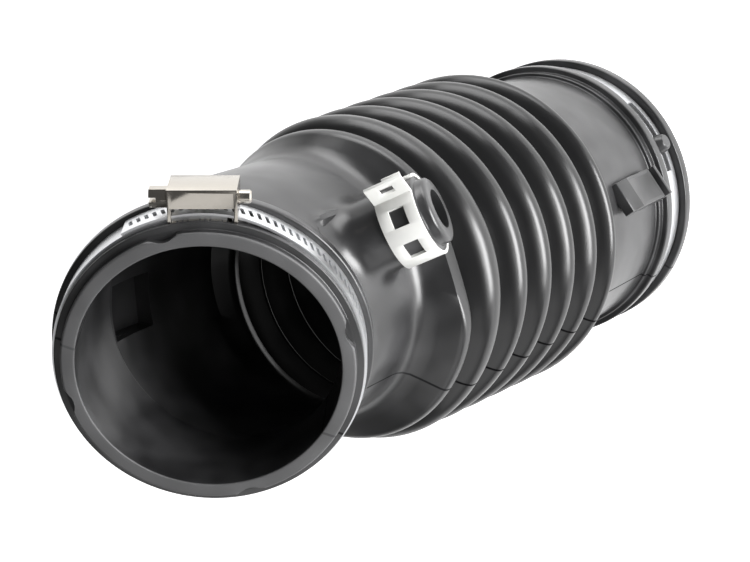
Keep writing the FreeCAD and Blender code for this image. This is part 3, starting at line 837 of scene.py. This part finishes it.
class INTAKE_OT_boot(bpy.types.Operator):
    """Builds the moulded rubber pipe"""

    bl_idname = "intake.boot"
    bl_label = "Build pipe"

    def execute(self, context):
        settings = context.scene.intake_pipe
        count = settings.segments
        meet = (LIP_MEET_R, LIP_STATION, 0)
        outer = stretched(rounded(outer_corners(settings) + [meet]), OUTER_STEP)
        inner = stretched(rounded([meet] + inner_corners(settings)), INNER_STEP)
        rings = []
        for r, s in outer:
            rings.append([shaped(p, s, r) for p in ring(*centre_line(s), r, count)])
        for r, s in inner[1:-1]:
            rings.append(ring(*centre_line(s), r, count))
        boot = rings_mesh("rubber_boot", rings, True)
        self.add_spigot(boot)
        self.add_pocket(boot)
        joined(boot, *self.lug(settings), self.button())
        shaded(boot, RUBBER_SHARP)
        finished(boot, "pipe", ["intake_boot"], rubber(settings))
        return {"FINISHED"}

    def add_spigot(self, boot):
        """Joins the flared spigot to the neck and opens its bore."""
        inward = -SPIGOT_AXIS
        rows = [ring(SPIGOT_MOUTH + inward * d, inward, r, SPIGOT_SEGMENTS) for r, d in SPIGOT_NOSE]
        for step in range(BLEND_STEPS + 1):
            row = []
            for out in ring(Vector((0, 0, 0)), inward, 1, SPIGOT_SEGMENTS):
                corner = self.neck_foot(SPIGOT_MOUTH + out * SPIGOT_R, inward)
                first = corner - inward * SPIGOT_BLEND
                last = self.neck_foot(SPIGOT_MOUTH + out * (SPIGOT_R + SPIGOT_BLEND), inward)
                row.append(bend(first, corner, last, step / BLEND_STEPS))
            rows.append(row)
        rows.append([point + inward * SPIGOT_SINK for point in rows[-1]])
        spigot = rings_mesh("spigot", rows, False)
        room = lathe("room", NECK_XY + Z_UP * ROOM_Z, Z_UP, [(IN_WALL_R, 0), (IN_WALL_R, ROOM_HEIGHT)],
                     ROOM_SEGMENTS)
        carve(spigot, room, "DIFFERENCE")
        carve(boot, spigot, "UNION")
        bore = lathe("bore", SPIGOT_MOUTH + SPIGOT_AXIS * CUT_PAST, inward,
                     [(SPIGOT_BORE_R, 0), (SPIGOT_BORE_R, SPIGOT_BORE_LENGTH)], BORE_SEGMENTS)
        carve(boot, bore, "DIFFERENCE")

    def neck_foot(self, start, way):
        """Where a line from a start point meets the neck's outside."""
        away = Vector((start.x - NECK_XY.x, start.y - NECK_XY.y))
        flat = Vector((way.x, way.y))
        half = away.dot(flat) / flat.length_squared
        rest = (away.length_squared - NECK_R ** 2) / flat.length_squared
        return start + way * (-half - math.sqrt(half * half - rest))

    def add_pocket(self, boot):
        """Joins the pocket's outer block to the elbow and sinks the pocket into it from inside."""
        for grow, inside, operation in ((POCKET_WALL, IN_WALL_R, "UNION"), (0, NECK_R / 2, "DIFFERENCE")):
            half_w = POCKET_SIZE[0] / 2 + grow
            half_h = POCKET_SIZE[1] / 2 + grow
            corners = [Vector((inside, y, z)) for y, z in rectangle(-half_w, -half_h, half_w, half_h)]
            place = Matrix.Translation(NECK_XY + Z_UP * POCKET_Z) @ Matrix.Rotation(POCKET_ANGLE, 4, "Z")
            sweep = place.to_3x3() @ Vector((POCKET_R + grow - inside, 0, 0))
            block = prism("block", [place @ c for c in corners], sweep)
            carve(boot, block, operation)

    def lug(self, settings):
        """The block with a sloped top and the thin plate below it."""
        turn = Matrix.Rotation(LUG_ANGLE, 3, "Z")
        pieces = []
        outline = ((LUG_ROOT_R, LUG_BOTTOM), (LUG_REACH, LUG_BOTTOM), (LUG_REACH, LUG_TOP),
                   (LUG_TOP_R, LUG_TOP + LUG_SLOPE), (LUG_ROOT_R, LUG_TOP + LUG_SLOPE))
        plate = rectangle(LUG_ROOT_R, LUG_PLATE_Z, LUG_REACH + LUG_PLATE_PROUD, LUG_PLATE_Z + LUG_PLATE_T)
        for name, side in (("lug", outline), ("plate", plate)):
            corners = [turn @ Vector((r, -LUG_FAR, z)) for r, z in side]
            piece = prism(name, corners, turn @ Vector((0, LUG_FAR - LUG_NEAR, 0)))
            if name == "lug":
                self.frame_face(piece, turn @ Vector((1, 0, 0)))
            bevelled(piece, settings.edge_round / 2)
            pieces.append(piece)
        return pieces

    def frame_face(self, piece, out):
        """Sinks the middle of the face that looks outwards."""
        bm = bmesh.new()
        bm.from_mesh(piece.data)
        bm.normal_update()
        face = max(bm.faces, key=lambda f: f.normal.dot(out))
        bmesh.ops.inset_region(bm, faces=[face], thickness=LUG_FRAME * MM)
        bmesh.ops.translate(bm, verts=face.verts, vec=-out * LUG_SINK * MM)
        bm.to_mesh(piece.data)
        bm.free()

    def button(self):
        """The button that holds the rear band by its slot."""
        out = outward(BUTTON_ANGLE)
        foot = out * (REAR_SEAT_R - BUTTON_SINK) + Z_UP * (END_BEAD_W + REAR_SEAT_W / 2)
        head = BUTTON_SINK + BAND_T + LAYER_GAP
        top = head + BUTTON_HEAD_T
        profile = [(BUTTON_STEM_R, 0), (BUTTON_STEM_R, head), (BUTTON_HEAD_R - BUTTON_EDGE, head),
                   (BUTTON_HEAD_R, head + BUTTON_EDGE), (BUTTON_HEAD_R - BUTTON_TAPER, top - BUTTON_CROWN_H),
                   (BUTTON_HEAD_R - BUTTON_CROWN_IN, top)]
        return lathe("button", foot, out, profile, TURNED_SEGMENTS)


class INTAKE_OT_bands(bpy.types.Operator):
    """Builds the two slotted clamp bands"""

    bl_idname = "intake.bands"
    bl_label = "Build bands"

    def execute(self, context):
        settings = context.scene.intake_clamps
        surface = bright_steel("stainless_steel", settings.steel, BAND_ROUGHNESS)
        tree = band_tree()
        quarter = math.pi / 2
        rows = (("front", FRONT_SEAT_R, FRONT_BAND_W, settings.front_slots),
                ("rear", REAR_SEAT_R, REAR_BAND_W, settings.rear_slots))
        for end, radius, width, slots in rows:
            band = from_tree(end + "_band", tree, {
                "Radius": radius * MM, "Thickness": BAND_T * MM, "Width": width * MM,
                "Lift": (BAND_T + LAYER_GAP) * MM, "Start": quarter - RISE_ANGLE / 4,
                "Climb": quarter - RISE_ANGLE, "Tail": quarter + TAIL_ANGLE, "Slots": slots,
                "Slot Pitch": settings.thread_pitch, "Slot Width": SLOT_W * MM,
                "Slot Length": SLOT_LENGTH * MM, "Slot Slant": SLOT_SLANT, "Steel": surface})
            band.data.transform(clamp_place(end))
            if end == "rear":
                carve(band, self.peg_slot(), "DIFFERENCE")
            shaded(band, METAL_SHARP)
            finished(band, "pipe", [end + "_clamp_band"], surface)
        return {"FINISHED"}

    def peg_slot(self):
        """The long slot that the moulding's button stands in."""
        shares = [i / PEG_SLOT_STEPS for i in range(PEG_SLOT_STEPS + 1)]
        turns = [PEG_SLOT_ANGLE + PEG_SLOT_SWEEP * (share - 0.5) for share in shares]
        low = END_BEAD_W + REAR_SEAT_W / 2 - PEG_SLOT_W / 2
        outline = [Vector((r * math.cos(t), r * math.sin(t), low))
                   for r, row in ((REAR_SEAT_R - BAND_T, turns), (REAR_SEAT_R + 2 * BAND_T, turns[::-1]))
                   for t in row]
        return prism("peg_slot", outline, Z_UP * PEG_SLOT_W)


class INTAKE_OT_housings(bpy.types.Operator):
    """Builds the two worm housings"""

    bl_idname = "intake.housings"
    bl_label = "Build housings"

    def execute(self, context):
        settings = context.scene.intake_clamps
        surface = bright_steel("nickel_plated_steel", settings.plate, PLATE_ROUGHNESS)
        rows = (("front", FRONT_SEAT_R, FRONT_BAND_W), ("rear", REAR_SEAT_R, REAR_BAND_W))
        for end, radius, width in rows:
            housing = node_copy(end + "_clamp_housing", end + "_housing")
            for side in (-1, 1):
                carve(housing, self.skirt(end, radius + SCREW_RISE, side * (width / 2 + BRIDGE_LEG)), "UNION")
            bevelled(housing, settings.edge)
            shaded(housing, METAL_SHARP)
            finished(housing, "pipe", [end + "_clamp_housing"], surface)
        return {"FINISHED"}

    def skirt(self, end, height, face):
        """The strip folded down from the bridge's roof over one side of the worm."""
        half = BRIDGE_LENGTH / 2 - BRIDGE_T / 2
        low = height - SKIRT_DROP
        high = height + WORM_R + WORM_GAP + BRIDGE_T / 2
        corners = [Vector((x, y, face)) for x, y in rectangle(-half, low, half, high)]
        strip = prism("skirt", corners, Z_UP * math.copysign(SKIRT_T, -face))
        strip.data.transform(clamp_place(end))
        return strip


class INTAKE_OT_screws(bpy.types.Operator):
    """Builds the two worm screws"""

    bl_idname = "intake.screws"
    bl_label = "Build screws"

    def execute(self, context):
        settings = context.scene.intake_clamps
        surface = bright_steel("nickel_plated_screw_steel", settings.plate, PLATE_ROUGHNESS)
        tree = thread_tree()
        for end, radius in (("front", FRONT_SEAT_R), ("rear", REAR_SEAT_R)):
            screw = self.screw(end + "_worm", settings)
            thread = self.thread(tree, settings, surface)
            joined(screw, thread)
            lift = Matrix.Translation(Vector((0, (radius + SCREW_RISE) * MM, 0)))
            lie = lift @ Matrix.Rotation(math.pi / 2, 4, "Y")
            screw.data.transform(clamp_place(end) @ lie)
            shaded(screw, METAL_SHARP)
            finished(screw, end + "_screw", [end + "_clamp_screw"], surface)
        return {"FINISHED"}

    def screw(self, name, settings):
        """Core, journals and slotted hexagon head along Z."""
        half = BRIDGE_LENGTH / 2
        worm = half - BRIDGE_T - WORM_GAP
        head = half + WORM_GAP
        core = WORM_R - 2 * settings.thread_r / MM
        tip = half + TIP_LENGTH
        profile = [(JOURNAL_R, -head - SHAFT_SINK), (JOURNAL_R, -worm), (core, -worm), (core, worm),
                   (JOURNAL_R, worm), (JOURNAL_R, tip - TIP_CHAMFER), (JOURNAL_R - TIP_CHAMFER, tip)]
        shaft = lathe(name, Vector((0, 0, 0)), Z_UP, profile, TURNED_SEGMENTS)
        corner = HEAD_AF / 2 / math.cos(math.radians(30))
        end = -head - HEAD_LENGTH
        hexagon = [Vector((corner * math.cos(t), corner * math.sin(t), end))
                   for t in (math.radians(60 * i) for i in range(6))]
        cap = prism("cap", hexagon, Z_UP * HEAD_LENGTH)
        half_w = HEAD_SLOT_W / 2
        gap = [Vector((x, y, end - CUT_PAST)) for x, y in rectangle(-HEAD_AF, -half_w, HEAD_AF, half_w)]
        carve(cap, prism("gap", gap, Z_UP * (HEAD_SLOT_D + CUT_PAST)), "DIFFERENCE")
        bevelled(cap, 2 * settings.edge)
        joined(shaft, cap)
        return shaft

    def thread(self, tree, settings, surface):
        """The worm's helical ridge along Z, centred on the bridge."""
        section = settings.thread_r / MM
        length = BRIDGE_LENGTH - 2 * (BRIDGE_T + WORM_GAP + section)
        thread = from_tree("thread", tree, {
            "Radius": (WORM_R - section) * MM, "Pitch": settings.thread_pitch,
            "Turns": length * MM / settings.thread_pitch, "Section": settings.thread_r, "Steel": surface})
        thread.data.transform(Matrix.Translation(Z_UP * (-length / 2) * MM))
        return thread


class INTAKE_OT_spring_clamp(bpy.types.Operator):
    """Builds the spring clamp on the spigot"""

    bl_idname = "intake.spring_clamp"
    bl_label = "Build spring clamp"

    def execute(self, context):
        settings = context.scene.intake_clamps
        clamp = node_copy("spigot_spring_clamp", "spring_clamp")
        bevelled(clamp, settings.edge)
        shaded(clamp, METAL_SHARP)
        finished(clamp, "pipe", ["spigot_spring_clamp"], coated_steel(settings))
        return {"FINISHED"}


class INTAKE_OT_stage(bpy.types.Operator):
    """Sets the camera, the white floor and the softboxes"""

    bl_idname = "intake.stage"
    bl_label = "Set stage"

    def execute(self, context):
        settings = context.scene.intake_stage
        scene = context.scene
        scene.view_settings.view_transform = "Standard"
        self.camera(scene)
        self.floor(settings)
        self.world(scene, settings)
        for name, place in LIGHT_PLACES.items():
            self.softbox(name + "_light", place, LIGHT_SIZES[name], getattr(settings, name))
        return {"FINISHED"}

    def camera(self, scene):
        """The photo's view."""
        data = bpy.data.cameras.new("main_camera")
        data.lens = LENS_MM
        data.sensor_width = SENSOR_MM
        camera = bpy.data.objects.new("main_camera", data)
        camera.location = CAMERA_PLACE * MM
        back = -CAMERA_FORWARD.normalized()
        right = (CAMERA_RIGHT - back * CAMERA_RIGHT.dot(back)).normalized()
        camera.rotation_euler = Matrix((right, back.cross(right), back)).transposed().to_euler()
        scene.collection.objects.link(camera)
        scene.camera = camera

    def floor(self, settings):
        """A white floor that keeps a soft shadow."""
        half = FLOOR_SIZE / 2
        bm = bmesh.new()
        bm.faces.new([bm.verts.new(Vector((x, y, 0)) * MM) for x, y in rectangle(-half, -half, half, half)])
        floor = mesh_object("floor", bm)
        material, tree = new_material("white_sweep")
        shader = add(tree, "ShaderNodeBsdfPrincipled", Base_Color=(*settings.floor, 1), Roughness=1.0,
                     Specular_IOR_Level=0.0, Emission_Color=(*linear("#ffffff"), 1),
                     Emission_Strength=settings.glow)
        add(tree, "ShaderNodeOutputMaterial", shader)
        floor.data.materials.append(material)

    def world(self, scene, settings):
        """A dim white room."""
        world = bpy.data.worlds.new("white_room")
        world.use_nodes = True
        tree = world.node_tree
        tree.nodes.clear()
        room = add(tree, "ShaderNodeBackground", Color=(*linear("#ffffff"), 1), Strength=settings.world)
        add(tree, "ShaderNodeOutputWorld", room)
        scene.world = world

    def softbox(self, name, place, size, power):
        """A rectangular soft light."""
        data = bpy.data.lights.new(name, "AREA")
        data.shape = "RECTANGLE"
        data.size = size[0] * MM
        data.size_y = size[1] * MM
        data.energy = power
        light = bpy.data.objects.new(name, data)
        light.location = place * MM
        light.rotation_euler = (LIGHT_TARGET - place).to_track_quat("-Z", "Y").to_euler()
        bpy.context.scene.collection.objects.link(light)


OPERATORS = (INTAKE_OT_boot, INTAKE_OT_bands, INTAKE_OT_housings, INTAKE_OT_screws, INTAKE_OT_spring_clamp,
             INTAKE_OT_stage)


class INTAKE_PT_panel(bpy.types.Panel):
    """Lists the pieces and their settings."""

    bl_idname = "INTAKE_PT_panel"
    bl_label = "Air Intake Pipe"
    bl_space_type = "VIEW_3D"
    bl_region_type = "UI"
    bl_category = "Intake Pipe"

    def draw(self, context):
        for group in (context.scene.intake_pipe, context.scene.intake_clamps, context.scene.intake_stage):
            for name in group.__annotations__:
                self.layout.prop(group, name)
        for operator in OPERATORS:
            self.layout.operator(operator.bl_idname)


CLASSES = (PipeSettings, ClampSettings, StageSettings) + OPERATORS + (INTAKE_PT_panel,)


def register():
    for cls in CLASSES:
        bpy.utils.register_class(cls)
    bpy.types.Scene.intake_pipe = PointerProperty(type=PipeSettings)
    bpy.types.Scene.intake_clamps = PointerProperty(type=ClampSettings)
    bpy.types.Scene.intake_stage = PointerProperty(type=StageSettings)


def unregister():
    del bpy.types.Scene.intake_stage
    del bpy.types.Scene.intake_clamps
    del bpy.types.Scene.intake_pipe
    for cls in reversed(CLASSES):
        bpy.utils.unregister_class(cls)


def main():
    register()
    bpy.ops.intake.boot()
    bpy.ops.intake.bands()
    bpy.ops.intake.housings()
    bpy.ops.intake.screws()
    bpy.ops.intake.spring_clamp()
    bpy.ops.intake.stage()


if __name__ == "__main__":
    main()
